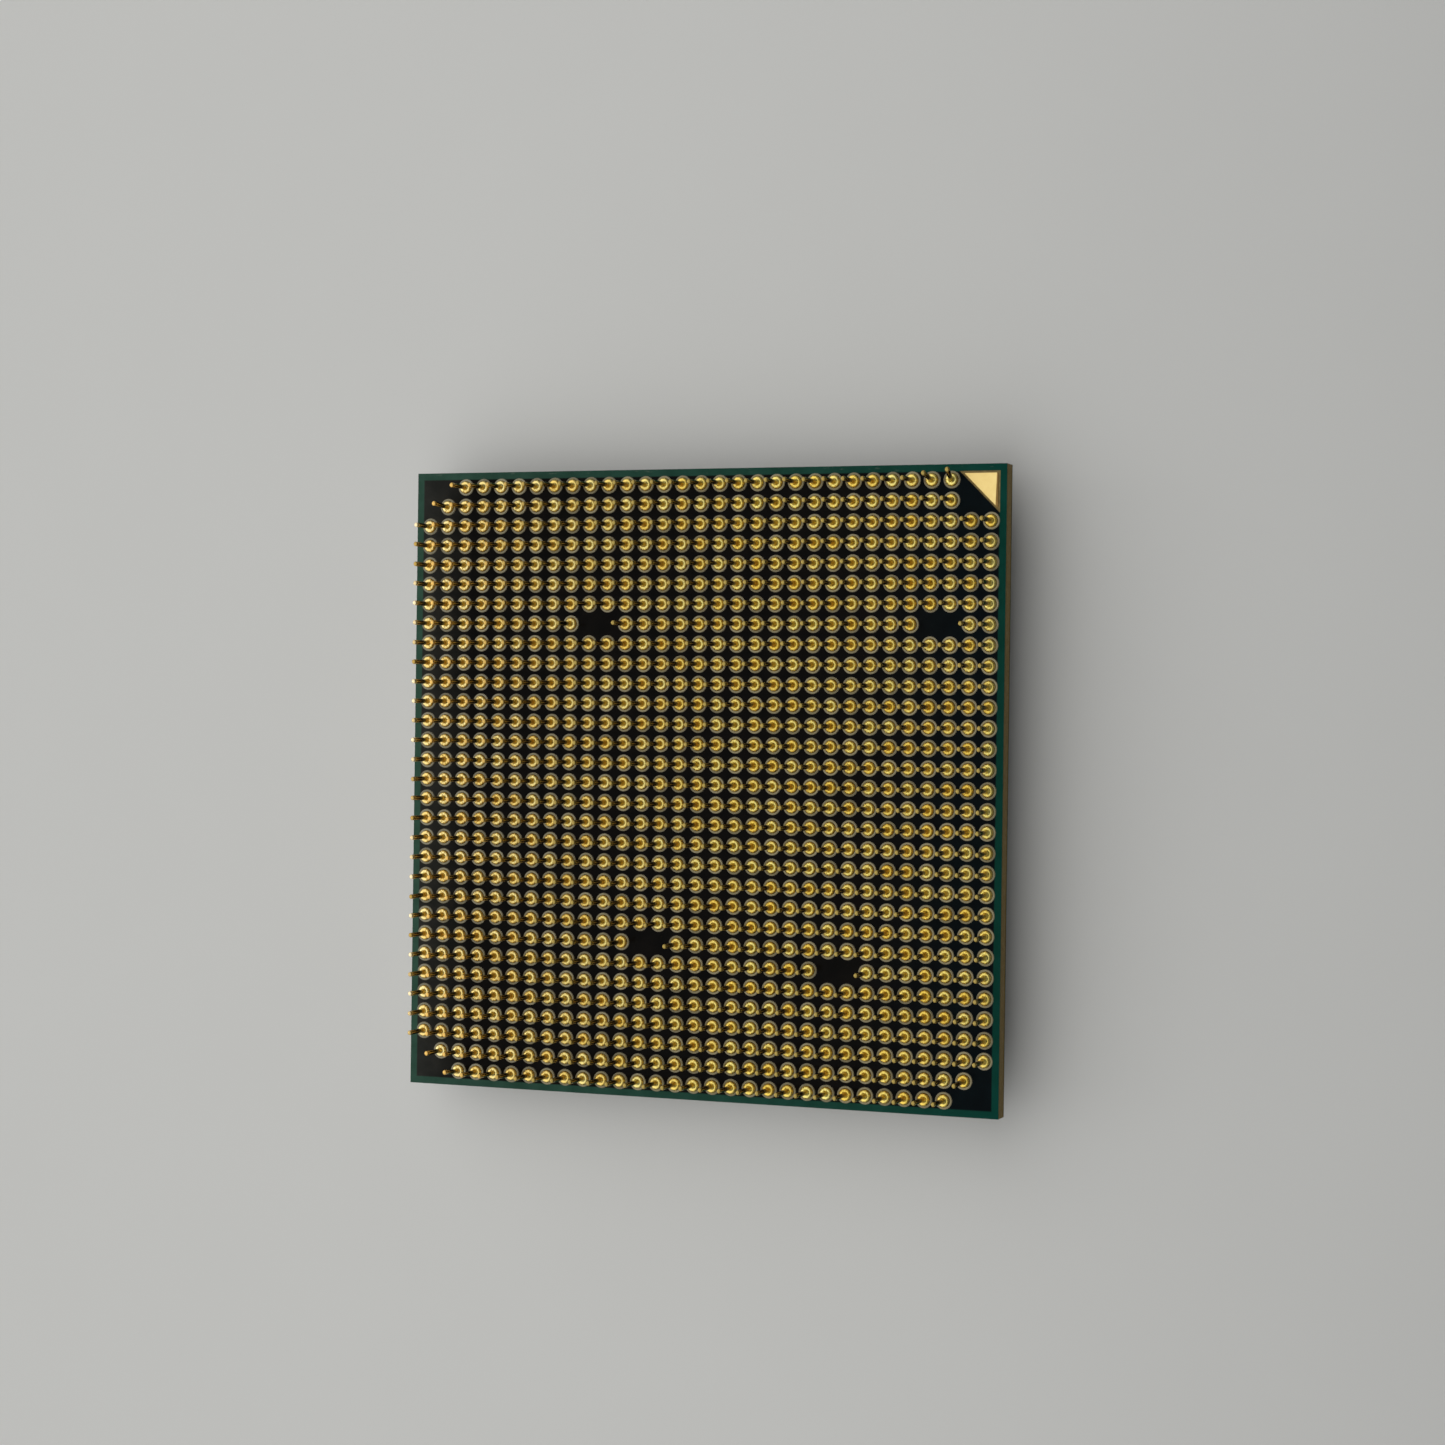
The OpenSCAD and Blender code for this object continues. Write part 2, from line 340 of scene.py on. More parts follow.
def colour_tip(tree, tone, side):
    # Painted light: the tips at the -X edge are painted bright, a painted glint, and further in they are
    # painted dark, a painted shade.
    edge = mix_colour(tree, remap(tree, tone, 0.2, 0.6, 0.0, 1.0), (0.50, 0.33, 0.09), (0.98, 0.82, 0.50))
    inward = remap(tree, side, 0.06, 0.25, 0.0, 1.0)
    field = mix_colour(tree, inward, (0.80, 0.50, 0.14), (0.36, 0.265, 0.075))
    return mix_colour(tree, remap(tree, side, 0.03, 0.05, 0.0, 1.0), edge, field)


def make_pin_gold():
    finish, tree, shader = new_finish("pin_gold", Metallic=1.0)
    where = place_on_object(tree)
    tone = own_tone(tree)
    side = across(tree, where)
    height = coordinate(tree, where, 2)
    on_wire = remap(tree, height, FACE_Z + FILLET, FACE_Z + ROOT + 0.04 * MM, 0.0, 1.0, smooth=True)
    worn_painted_tip = remap(tree, height, *TIP_WORN_AND_PAINTED, 0.0, 1.0, smooth=True)
    colour = mix_colour(tree, on_wire, colour_head(tree, tone, side), colour_wire(tree, tone, height))
    colour = mix_colour(tree, worn_painted_tip, colour, colour_tip(tree, tone, side))
    cloud = noise(tree, where, 4200.0, 3.0)
    stained = mix_colour(tree, remap(tree, cloud, 0.62, 0.80, 0.0, 0.45), colour, STAIN)
    tree.links.new(stained, shader.inputs["Base Color"])
    head_drift = remap(tree, cloud, 0.3, 0.7, -0.04, 0.05)
    head_polish = calc(tree, "ADD", remap(tree, side, 0.0, 0.3, 0.18, 0.34), head_drift)
    root_matt = remap(tree, height, *ROOT_MATT, 0.22, 0.0)
    wire_polish = calc(tree, "ADD", remap(tree, tone, 0.0, 1.0, 0.20, 0.13), root_matt)
    polish = mix_number(tree, on_wire, head_polish, wire_polish)
    worn = calc(tree, "MULTIPLY", worn_painted_tip, 0.35)
    tree.links.new(calc(tree, "MAXIMUM", polish, worn), shader.inputs["Roughness"])
    bump(tree, shader, noise(tree, where, 9000.0, 2.0), 0.001 * MM, 0.15)
    return finish


PIN_GOLD = make_pin_gold()
print("pin gold nodes:", len(PIN_GOLD.node_tree.nodes))

# %% [markdown]
# ### Solder
# Solder freezes with a faintly grainy skin. It is grey at the foot, and where it climbs the nail head it has
# dissolved some gold. So its colour runs with height over a few hundredths of a millimetre, and a fine bump
# breaks up the reflection.

# %% Solder
CLIMB = (FACE_Z + 0.04 * MM, FACE_Z + 0.10 * MM)


def make_solder():
    finish, tree, shader = new_finish("solder", Metallic=1.0)
    where = place_on_object(tree)
    tone = own_tone(tree)
    cloud = noise(tree, where, 5200.0, 4.0)
    # Painted light: the solder is painted lighter and greyer towards the -X edge, where the light comes from,
    # and yellower further in, a painted reflection of the gold round it.
    near = mix_colour(tree, tone, (0.150, 0.138, 0.096), (0.235, 0.221, 0.163))
    far = mix_colour(tree, tone, (0.150, 0.129, 0.074), (0.245, 0.214, 0.130))
    colour = mix_colour(tree, remap(tree, across(tree, where), 0.0, 0.4, 0.0, 1.0), near, far)
    colour = mix_colour(tree, remap(tree, cloud, 0.55, 0.75, 0.0, 0.5), colour, (0.13, 0.11, 0.065))
    climb = remap(tree, coordinate(tree, where, 2), *CLIMB, 0.0, 1.0)
    tree.links.new(mix_colour(tree, climb, colour, (0.90, 0.66, 0.20)), shader.inputs["Base Color"])
    matt_climb = calc(tree, "MULTIPLY", climb, 0.26)
    polish = calc(tree, "ADD", remap(tree, cloud, 0.3, 0.7, 0.20, 0.36), matt_climb)
    tree.links.new(polish, shader.inputs["Roughness"])
    bump(tree, shader, noise(tree, where, 14000.0, 3.0), 0.004 * MM, 0.6)
    return finish


SOLDER = make_solder()
print("solder nodes:", len(SOLDER.node_tree.nodes))

# %% [markdown]
# ### Solder mask
# The mask is a thin dark green lacquer. Over the copper plane it looks nearly black, and over the bare
# laminate at the border it looks green. Both are painted lighter towards the -X edge, a painted sheen of the
# light from that side, and the black is painted a little bluer near the +X edge, a painted reflection. The
# material finds the border by its distance from the middle, so one slab of mask needs no seam. The wiring
# below shows as faint lines in the bump, and the border is scuffed along the +Y edge.

# %% Solder mask
BORDER_BLUR = 0.05 * MM
SCUFF_BAND = (HALF_W - 0.40 * MM, HALF_W - 0.20 * MM)


def colour_border(tree, where, side, cloud):
    # Painted light: the green is painted lighter and greyer at the -X edge, a painted sheen of the light from
    # that side.
    green_with_painted_sheen = mix_colour(tree, cloud, (0.024, 0.062, 0.043), (0.034, 0.082, 0.059))
    right_green = mix_colour(tree, cloud, (0.0002, 0.042, 0.029), (0.0015, 0.052, 0.038))
    green = mix_colour(tree, side, green_with_painted_sheen, right_green)
    streaks = noise(tree, stretch(tree, where, (0.25, 1.0, 1.0)), 3200.0, 4.0, 0.7)
    near_edge = remap(tree, coordinate(tree, where, 1), *SCUFF_BAND, 0.0, 1.0)
    scuffed = calc(tree, "MULTIPLY", remap(tree, streaks, 0.60, 0.72, 0.0, 0.5), near_edge)
    return mix_colour(tree, scuffed, green, (0.16, 0.20, 0.17))


def colour_field(tree, side, cloud):
    # Painted light: the black is painted lighter at the -X edge, a painted sheen, and a little bluer at the
    # +X edge, a painted reflection.
    black_with_painted_sheen = mix_colour(tree, cloud, (0.017, 0.018, 0.016), (0.028, 0.028, 0.025))
    middle_black = mix_colour(tree, cloud, (0.0022, 0.0020, 0.0017), (0.0046, 0.0038, 0.0031))
    black_with_painted_reflection = mix_colour(tree, cloud, (0.0003, 0.0022, 0.0034), (0.0010, 0.0045, 0.0062))
    black = mix_colour(tree, remap(tree, side, 0.02, 0.10, 0.0, 1.0), black_with_painted_sheen, middle_black)
    return mix_colour(tree, remap(tree, side, 0.78, 0.93, 0.0, 1.0), black, black_with_painted_reflection)


def make_mask():
    finish, tree, shader = new_finish("solder_mask", IOR=1.5, Specular_IOR_Level=0.035)
    where = place_on_object(tree)
    side = across(tree, where)
    from_middle = [calc(tree, "ABSOLUTE", coordinate(tree, where, axis)) for axis in (0, 1)]
    reach = calc(tree, "MAXIMUM", *from_middle)
    border_band = (PLANE_HALF_W - BORDER_BLUR, PLANE_HALF_W + BORDER_BLUR)
    border = remap(tree, reach, *border_band, 0.0, 1.0, smooth=True)
    cloud = remap(tree, noise(tree, where, 700.0, 4.0), 0.35, 0.65, 0.0, 1.0)
    black = colour_field(tree, side, cloud)
    green = colour_border(tree, where, side, cloud)
    tree.links.new(mix_colour(tree, border, black, green), shader.inputs["Base Color"])
    polish = remap(tree, noise(tree, where, 1800.0, 3.0), 0.3, 0.7, 0.14, 0.24)
    tree.links.new(polish, shader.inputs["Roughness"])
    lines = add(tree, "ShaderNodeTexWave", wave_type="BANDS", bands_direction="Y")
    lines.inputs["Scale"].default_value = 700.0
    lines.inputs["Distortion"].default_value = 0.6
    tree.links.new(where, lines.inputs["Vector"])
    wiring = calc(tree, "MULTIPLY", lines.outputs["Fac"], 0.4)
    height = calc(tree, "ADD", wiring, calc(tree, "MULTIPLY", border, -2.0))
    bump(tree, shader, height, 0.012 * MM, 0.5)
    return finish


MASK = make_mask()
print("mask nodes:", len(MASK.node_tree.nodes))

# %% [markdown]
# ### Laminate
# The board is woven glass in amber resin, and its sawn edge shows the layers. A noise drawn out level gives
# the layers, and a second one, drawn out in height, gives the ends of the fibres.

# %% Laminate edge


def make_laminate():
    finish, tree, shader = new_finish("laminate", IOR=1.48, Specular_IOR_Level=0.2)
    where = place_on_object(tree)
    layers = noise(tree, stretch(tree, where, (0.12, 0.12, 1.0)), 15000.0, 4.0, 0.75)
    fibres = noise(tree, stretch(tree, where, (1.0, 1.0, 0.35)), 5200.0, 3.0)
    resin = remap(tree, layers, 0.35, 0.65, 0.0, 1.0)
    amber = mix_colour(tree, resin, (0.160, 0.110, 0.036), (0.27, 0.195, 0.070))
    colour = mix_colour(tree, remap(tree, fibres, 0.55, 0.75, 0.0, 0.6), amber, (0.27, 0.185, 0.08))
    tree.links.new(colour, shader.inputs["Base Color"])
    tree.links.new(remap(tree, fibres, 0.3, 0.7, 0.5, 0.75), shader.inputs["Roughness"])
    bump(tree, shader, calc(tree, "ADD", layers, fibres), 0.02 * MM, 0.6)
    return finish


LAMINATE = make_laminate()
print("laminate nodes:", len(LAMINATE.node_tree.nodes))

# %% [markdown]
# ### The plainer finishes
# Plated, moulded and fired surfaces are never one flat colour: they drift between two close tones, and their
# polish drifts with them. One builder makes them all, and each finish gives its own tones, size of pattern
# and polish. The lid's nickel has its grain drawn out along one axis, as the rolled metal under it has.

# %% Gold pads, nickel and the other finishes


def make_cloudy(name, dark, light, scale, rough, metallic=0.0, grain=(1.0, 1.0, 1.0), depth=0.01):
    """A finish that drifts between two colours and two polish levels, with a matching fine bump."""
    finish, tree, shader = new_finish(name, Metallic=metallic)
    where = place_on_object(tree)
    cloud = remap(tree, noise(tree, where, scale, 4.0), 0.35, 0.65, 0.0, 1.0)
    fine = noise(tree, stretch(tree, where, grain), scale * 6.0, 3.0)
    tree.links.new(mix_colour(tree, cloud, dark, light), shader.inputs["Base Color"])
    tree.links.new(remap(tree, fine, 0.3, 0.7, *rough), shader.inputs["Roughness"])
    bump(tree, shader, fine, depth * MM, 0.5)
    return finish


def make_plated(name, dark, light, scale, rough, **settings):
    return make_cloudy(name, dark, light, scale, rough, metallic=1.0, **settings)


MARK_GOLD = make_plated("mark_gold", (0.80, 0.59, 0.22), (0.86, 0.66, 0.27), 900.0, (0.34, 0.48))
MARK_RIM = make_cloudy("mark_rim", (0.22, 0.125, 0.030), (0.32, 0.19, 0.055), 2600.0, (0.42, 0.60),
                       metallic=0.7)
# The gold lands are painted dark grey-brown, a painted shade at the solder's foot.
LAND_GOLD_PAINTED_DARK = make_plated("land_gold_painted_dark", (0.16, 0.14, 0.10), (0.24, 0.21, 0.15), 2500.0, (0.25, 0.4))
NICKEL = make_plated("nickel", (0.50, 0.49, 0.46), (0.60, 0.59, 0.56), 160.0, (0.24, 0.36),
                     grain=(1.0, 0.03, 1.0), depth=0.006)
SEALANT = make_cloudy("sealant", (0.012, 0.012, 0.013), (0.030, 0.030, 0.032), 1500.0, (0.5, 0.7))
COPPER = make_plated("copper", (0.62, 0.27, 0.14), (0.80, 0.40, 0.24), 900.0, (0.3, 0.45))
INDIUM = make_plated("indium", (0.48, 0.49, 0.50), (0.62, 0.63, 0.65), 700.0, (0.35, 0.55))
SILICON = make_cloudy("silicon", (0.045, 0.050, 0.060), (0.075, 0.080, 0.090), 300.0, (0.08, 0.16),
                      metallic=0.6)
EPOXY = make_cloudy("epoxy", (0.010, 0.013, 0.025), (0.022, 0.027, 0.045), 800.0, (0.2, 0.35))
CERAMIC = make_cloudy("ceramic", (0.22, 0.13, 0.07), (0.36, 0.24, 0.14), 2000.0, (0.5, 0.65))
TIN = make_plated("tin", (0.52, 0.52, 0.50), (0.70, 0.70, 0.68), 1800.0, (0.3, 0.45))

for node_name, finish in (
    ("pin_side_mask", MASK), ("lid_side_mask", MASK), ("lid_side_mark", MARK_GOLD), ("pin_lands", LAND_GOLD_PAINTED_DARK),
    ("power_plane", COPPER), ("ground_plane", COPPER), ("thermal_solder", INDIUM), ("silicon_die", SILICON),
    ("die_bumps", SOLDER), ("underfill", EPOXY), ("capacitor_bodies", CERAMIC), ("capacitor_terminals", TIN),
):
    mesh = frame["nodes"][node_name].data
    mesh.materials.clear()
    mesh.materials.append(finish)
    print(node_name, "is finished in", finish.name)

# %% [markdown]
# ## Board
# The board is three slabs pressed together: a glass-fibre core with a wiring layer on each face. They are
# sawn together out of a large panel, so the edges are straight but never quite even. Each slab is a box
# whose sides are cut into upright strips, and the corners of the strips are pushed in by hundredths of a
# millimetre. The layers then catch the light one by one.

# %% Model the board's slabs
SAW_DEPTH = 0.02 * MM
CORE_CUTS, LAYER_CUTS = 39, 23
saw = random.Random(40)


def add_box(low, high):
    """A box between two opposite corners, with its object at the origin."""
    deselect_all()
    bpy.ops.mesh.primitive_cube_add(size=1.0, location=[(a + b) / 2 for a, b in zip(low, high)])
    block = bpy.context.object
    block.scale = [b - a for a, b in zip(low, high)]
    settle(block)
    return block


def make_slab(node_name, cuts):
    low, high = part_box(node_name)
    slab = add_box(low, high)
    bpy.ops.object.mode_set(mode="EDIT")
    pick_faces(slab, lambda centre, normal: abs(normal.z) < 0.1)
    bpy.ops.mesh.subdivide(number_cuts=cuts)
    edit = bmesh.from_edit_mesh(slab.data)
    for vertex in edit.verts:
        for axis in (0, 1):
            if high[axis] - abs(vertex.co[axis]) < 0.001 * MM:
                vertex.co[axis] -= math.copysign(saw.uniform(0.0, SAW_DEPTH), vertex.co[axis])
    bmesh.update_edit_mesh(slab.data)
    bpy.ops.object.mode_set(mode="OBJECT")
    bpy.ops.object.shade_smooth_by_angle(angle=math.radians(40))
    return slab


for node_name, name, cuts in (
    ("substrate_core", "core", CORE_CUTS), ("pin_side_buildup", "pin_side_layer", LAYER_CUTS),
    ("lid_side_buildup", "lid_side_layer", LAYER_CUTS),
):
    slab = make_slab(node_name, cuts)
    finish_piece(slab, name, [node_name], LAMINATE)
    print(name, "faces:", len(slab.data.polygons))

# %% [markdown]
# ## Lid
# The lid is coined out of copper and nickel plated: a flange all round, a raised face in the middle and a
# shallow hollow inside for the chip. A press leaves no sharp corner anywhere. So two round-cornered slabs
# are joined, a third is cut out of them, and then every rim gets a bevel of its own width.

# %% Model the lid
FLANGE_T, FLANGE_STEP, FLANGE_WIDTH, HOLLOW_DEPTH = 1.4 * MM, 0.7 * MM, 4.2 * MM, 0.9 * MM
LID_CORNER = 2.0 * MM
LID_RIM, FLANGE_RIM, SEAT_RIM, HOLLOW_RIM = 0.25 * MM, 0.15 * MM, 0.06 * MM, 0.08 * MM
LID_LOW, LID_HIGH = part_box("heat_spreader")
OVERLAP = 0.4 * MM


def add_round_slab(half, low_z, high_z):
    """A square slab whose four upright corners are round."""
    slab = add_box((-half, -half, low_z), (half, half, high_z))
    bpy.ops.object.mode_set(mode="EDIT")
    pick_edges(slab, lambda first, last: abs(first.z - last.z) > (high_z - low_z) / 2)
    bpy.ops.mesh.bevel(offset=LID_CORNER, segments=8, affect="EDGES")
    bpy.ops.object.mode_set(mode="OBJECT")
    return slab


def combine(thing, other, operation):
    """Join the other solid to this one, or cut it out of this one, and use the other up."""
    modifier = thing.modifiers.new(operation.lower(), "BOOLEAN")
    modifier.operation, modifier.solver, modifier.object = operation, "EXACT", other
    apply_modifiers(thing)
    bpy.data.objects.remove(other)


def soften(thing, level, inner, outer, width, segments):
    """Bevel the level rims at a height whose edges reach between two distances from the middle."""
    def on_rim(first, last):
        reach = [max(abs(point.x), abs(point.y)) for point in (first, last)]
        off_level = max(abs(point.z - level) for point in (first, last))
        return off_level < 0.01 * MM and min(reach) > inner and max(reach) < outer
    pick_edges(thing, on_rim)
    bpy.ops.mesh.bevel(offset=width, segments=segments, affect="EDGES")


def make_lid():
    half, top = LID_HIGH[0], LID_HIGH[2]
    flange_z = top - FLANGE_T
    face_half, hollow_half = half - FLANGE_STEP, half - FLANGE_WIDTH
    lid = add_round_slab(half, flange_z, top)
    combine(lid, add_round_slab(face_half, LID_LOW[2], flange_z + OVERLAP), "UNION")
    combine(lid, add_round_slab(hollow_half, top - HOLLOW_DEPTH, top + OVERLAP), "DIFFERENCE")
    between = half - FLANGE_STEP / 2
    make_active(lid)
    bpy.ops.object.mode_set(mode="EDIT")
    soften(lid, LID_LOW[2], face_half - LID_CORNER, between, LID_RIM, 4)
    soften(lid, flange_z, between, half + OVERLAP, FLANGE_RIM, 3)
    soften(lid, top, between - LID_CORNER, half + OVERLAP, SEAT_RIM, 2)
    soften(lid, top, 0.0, hollow_half + OVERLAP, HOLLOW_RIM, 2)
    bpy.ops.object.mode_set(mode="OBJECT")
    bpy.ops.object.shade_smooth_by_angle(angle=math.radians(30))
    return lid


lid = make_lid()
finish_piece(lid, "lid", ["heat_spreader"], NICKEL)
print("lid faces:", len(lid.data.polygons))

# %% [markdown]
# ## Sealant
# A bead of dark silicone glues the lid's flange to the board, with a gap on one side that lets air out. The
# bead was pressed flat between the two, and its long thin edges are round. It is made as the lid is: one
# round-cornered slab is cut out of another, and a box cuts the gap.

# %% Model the sealant bead
BEAD_MARGIN, VENT_HALF_W, BEAD_ROUND = 0.4 * MM, 1.5 * MM, 0.06 * MM


def make_bead():
    low_z, high_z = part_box("lid_sealant")[0][2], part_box("lid_sealant")[1][2]
    outer_half = LID_HIGH[0] - BEAD_MARGIN
    inner_half = LID_HIGH[0] - FLANGE_WIDTH + BEAD_MARGIN
    bead = add_round_slab(outer_half, low_z, high_z)
    combine(bead, add_round_slab(inner_half, low_z - OVERLAP, high_z + OVERLAP), "DIFFERENCE")
    vent_low = (-VENT_HALF_W, -outer_half - OVERLAP, low_z - OVERLAP)
    vent_high = (VENT_HALF_W, -inner_half + OVERLAP, high_z + OVERLAP)
    combine(bead, add_box(vent_low, vent_high), "DIFFERENCE")
    make_active(bead)
    bpy.ops.object.mode_set(mode="EDIT")
    for level in (low_z, high_z):
        soften(bead, level, 0.0, outer_half + OVERLAP, BEAD_ROUND, 3)
    bpy.ops.object.mode_set(mode="OBJECT")
    bpy.ops.object.shade_smooth_by_angle(angle=math.radians(40))
    return bead


bead = make_bead()
finish_piece(bead, "sealant_bead", ["lid_sealant"], SEALANT)
print("bead faces:", len(bead.data.polygons))

# %% [markdown]
# ## Corner mark
# A gold triangle beside the emptiest corner shows which way round the part goes. It is etched out of the
# top copper, so its corners are a little round and its edge slopes. The gold stops short of the two edges
# that face the board's border, where a darker copper rim shows. A square loses one corner, what is left is
# filled, and the triangle is drawn up with a sloping rim. Two cuts then part the rim from the gold.

# %% Model the corner mark
RIM_WIDTHS = (0.17 * MM, 0.08 * MM)
MARK_ROUND, MARK_SLOPE = 0.10 * MM, 0.02 * MM


def make_corner_mark():
    low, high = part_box("pin_side_mark")
    deselect_all()
    bpy.ops.mesh.primitive_plane_add(
        size=1.0, location=((low[0] + high[0]) / 2, (low[1] + high[1]) / 2, low[2]))
    mark = bpy.context.object
    mark.scale = (high[0] - low[0], high[1] - low[1], 1.0)
    settle(mark)
    bpy.ops.object.mode_set(mode="EDIT")
    bpy.ops.mesh.select_mode(type="VERT")
    bpy.ops.mesh.select_all(action="DESELECT")
    edit = bmesh.from_edit_mesh(mark.data)
    for vertex in edit.verts:
        vertex.select_set(vertex.co.x < high[0] - MARK_ROUND and vertex.co.y < high[1] - MARK_ROUND)
    bmesh.update_edit_mesh(mark.data)
    bpy.ops.mesh.delete(type="VERT")
    bpy.ops.mesh.select_all(action="SELECT")
    bpy.ops.mesh.edge_face_add()
    bpy.ops.mesh.bevel(offset=MARK_ROUND, segments=4, affect="VERTICES")
    bpy.ops.mesh.select_all(action="SELECT")
    bpy.ops.mesh.normals_make_consistent(inside=False)
    bpy.ops.mesh.select_mode(type="FACE")
    thick = high[2] - low[2]
    draw_up(0.7 * thick)
    pull_top(MARK_SLOPE, 0.3 * thick)
    bpy.ops.mesh.select_mode(type="EDGE")
    bpy.ops.mesh.select_all(action="DESELECT")
    bpy.ops.mesh.select_non_manifold()
    bpy.ops.mesh.edge_face_add()
    for axis, width in enumerate(RIM_WIDTHS):
        bpy.ops.mesh.select_all(action="SELECT")
        cut = list(high)
        cut[axis] -= width
        bpy.ops.mesh.bisect(plane_co=cut, plane_no=(1 - axis, axis, 0))
    bpy.ops.mesh.select_all(action="SELECT")
    bpy.ops.mesh.normals_make_consistent(inside=False)
    bpy.ops.object.mode_set(mode="OBJECT")
    bpy.ops.object.shade_smooth_by_angle(angle=math.radians(20))
    return mark


def darken_rim(mark):
    """Give the faces beyond the two cuts the rim's finish."""
    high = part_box("pin_side_mark")[1]
    mark.data.materials.append(MARK_RIM)
    for face in mark.data.polygons:
        if any(face.center[axis] > high[axis] - width for axis, width in enumerate(RIM_WIDTHS)):
            face.material_index = 1


mark = make_corner_mark()
finish_piece(mark, "corner_mark", ["pin_side_mark"], MARK_GOLD)
darken_rim(mark)
print("corner mark faces:", len(mark.data.polygons))

# %% [markdown]
# ## One pin, then 940
# A pin starts as a short ten-sided disc, its nail head. Insets with a little height slope the head's
# shoulder up towards the wire and sweep into it, an extrusion draws the wire out to its length, and one more
# inset bevels the tip. That is about seventy faces, as much as a shape that repeats 940 times can afford.

# %% Model the master pin
SIDES = 10
SHOULDER_STEP, CREST_STEP, ROOT_R = 0.025 * MM, 0.095 * MM, 1.2 * SHAFT_R
TIP_ROUND, TIP_CHAMFER = 0.05 * MM, 0.04 * MM


def mark_rings_sharp(thing, levels):
    """Mark the level edges at these heights sharp, so that the long shaft between them shades straight."""
    edit = bmesh.from_edit_mesh(thing.data)
    for edge in edit.edges:
        for level in levels:
            if all(abs(corner.co.z - level) < 0.0001 * MM for corner in edge.verts):
                edge.smooth = False
    bmesh.update_edit_mesh(thing.data)


def make_pin():
    deselect_all()
    bpy.ops.mesh.primitive_cylinder_add(vertices=SIDES, radius=HEAD_R, depth=HEAD_RIM,
                                        location=(0, 0, FACE_Z + HEAD_RIM / 2))
    pin = bpy.context.object
    settle(pin)
    bpy.ops.object.mode_set(mode="EDIT")
    pick_faces(pin, lambda centre, normal: normal.z > 0.9)
    pull_top(SHOULDER_STEP, SHOULDER - HEAD_RIM)
    pull_top(CREST_STEP, CREST - SHOULDER)
    pull_top(HEAD_R - SHOULDER_STEP - CREST_STEP - ROOT_R, FILLET - CREST)
    pull_top(ROOT_R - SHAFT_R, ROOT - FILLET)
    draw_up(TIP_Z - FACE_Z - ROOT - TIP_ROUND)
    pull_top(TIP_CHAMFER, TIP_ROUND)
    mark_rings_sharp(pin, (FACE_Z + ROOT, TIP_Z - TIP_ROUND))
    bpy.ops.object.mode_set(mode="OBJECT")
    bpy.ops.object.shade_smooth()
    return pin


master_pin = make_pin()
print("faces in one pin:", len(master_pin.data.polygons))

# %% [markdown]
# ## Standing the pins
# Each row is one piece, as in the measured frame. Every pin is a copy with its own mesh, turned by chance
# about its axis and leaning by a fraction of a degree, as pressed-in wire does. A few pins near the corners
# have been bent in handling, and keep that bend: the shaft is curved away from its root. They are listed by
# row and by column from the middle, with the way in millimetres that the tip has gone along X and Y.

# %% Copy the pin to every place
LEAN_SPREAD = 0.012
STIFF_PART = 0.08
BENDS = {
    (0, 13): (0.34, 0.55),
    (0, 12): (0.08, 0.32),
    (1, -14): (0.0, 0.12),
    (GRID_N - 1, -13): (0.05, 0.14),
    (GRID_N - 2, 14): (0.0, -0.08),
}
dice = random.Random(940)


def bend_pin(mesh, lean_x, lean_y):
    """Curve the shaft sideways, by lean in mm at the tip, and keep the pin's length."""
    length = TIP_Z - FACE_Z
    for vertex in mesh.vertices:
        along = max(0.0, (vertex.co.z - FACE_Z) / length - STIFF_PART)
        sweep = along * along * 0.4 + along * 0.6
        vertex.co.x += lean_x * MM * sweep
        vertex.co.y += lean_y * MM * sweep
        vertex.co.z -= (lean_x ** 2 + lean_y ** 2) * MM * MM * along / (2 * length)


def copy_of(master, place, turn, tone):
    twin = master.copy()
    twin.data = master.data.copy()
    bpy.context.collection.objects.link(twin)
    twin.data.transform(Matrix.Translation(place) @ Matrix.Rotation(turn, 4, "Z"))
    values = twin.data.attributes.new("tone", "FLOAT", "POINT")
    values.data.foreach_set("value", [tone] * len(twin.data.vertices))
    return twin


def join(twins):
    deselect_all()
    for twin in twins:
        twin.select_set(True)
    bpy.context.view_layer.objects.active = twins[0]
    bpy.ops.object.join()
    return twins[0]


for row, (name, y, columns) in enumerate(ROWS):
    twins = []
    for column in columns:
        by_chance = (dice.gauss(0, LEAN_SPREAD), dice.gauss(0, LEAN_SPREAD))
        lean_x, lean_y = BENDS.get((row, column), by_chance)
        turn = dice.uniform(0, 2 * math.pi)
        twin = copy_of(master_pin, (column * PITCH, y, 0), turn, dice.random())
        bend_pin(twin.data, lean_x, lean_y)
        twins.append(twin)
    finish_piece(join(twins), name.replace("pin_row", "pins"), [name], PIN_GOLD)
bpy.data.objects.remove(master_pin)
print("pins stand in", GRID_N, "rows")

# %% [markdown]
# ## The solder round each head
# The solder wets the whole land: it lies nearly flat at the rim and climbs steeply at the end to the nail
# head. It has one profile all round: a loop of five corners is moved to that profile and spun about the pin's
# axis. The spin leaves a double seam and may turn inside out, so doubles are merged and the normals are
# recalculated.

# %% Model one solder ring and copy it
RING_SIDES = 14
SEAM_GAP = 0.0005 * MM
LAND_R = (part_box("pin_lands")[1][1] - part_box("pin_lands")[0][1] - (GRID_N - 1) * PITCH) / 2
FOOT_R = LAND_R - 0.01 * MM
COLLAR_R = HEAD_R + 0.05 * MM
RING_PROFILE = (
    (FOOT_R, 0.0),
    (FOOT_R - 0.01 * MM, 0.03 * MM),
    (COLLAR_R, 0.038 * MM),
    (HEAD_R + 0.002 * MM, HEAD_RIM),
    (HEAD_R - 0.01 * MM, 0.0),
)


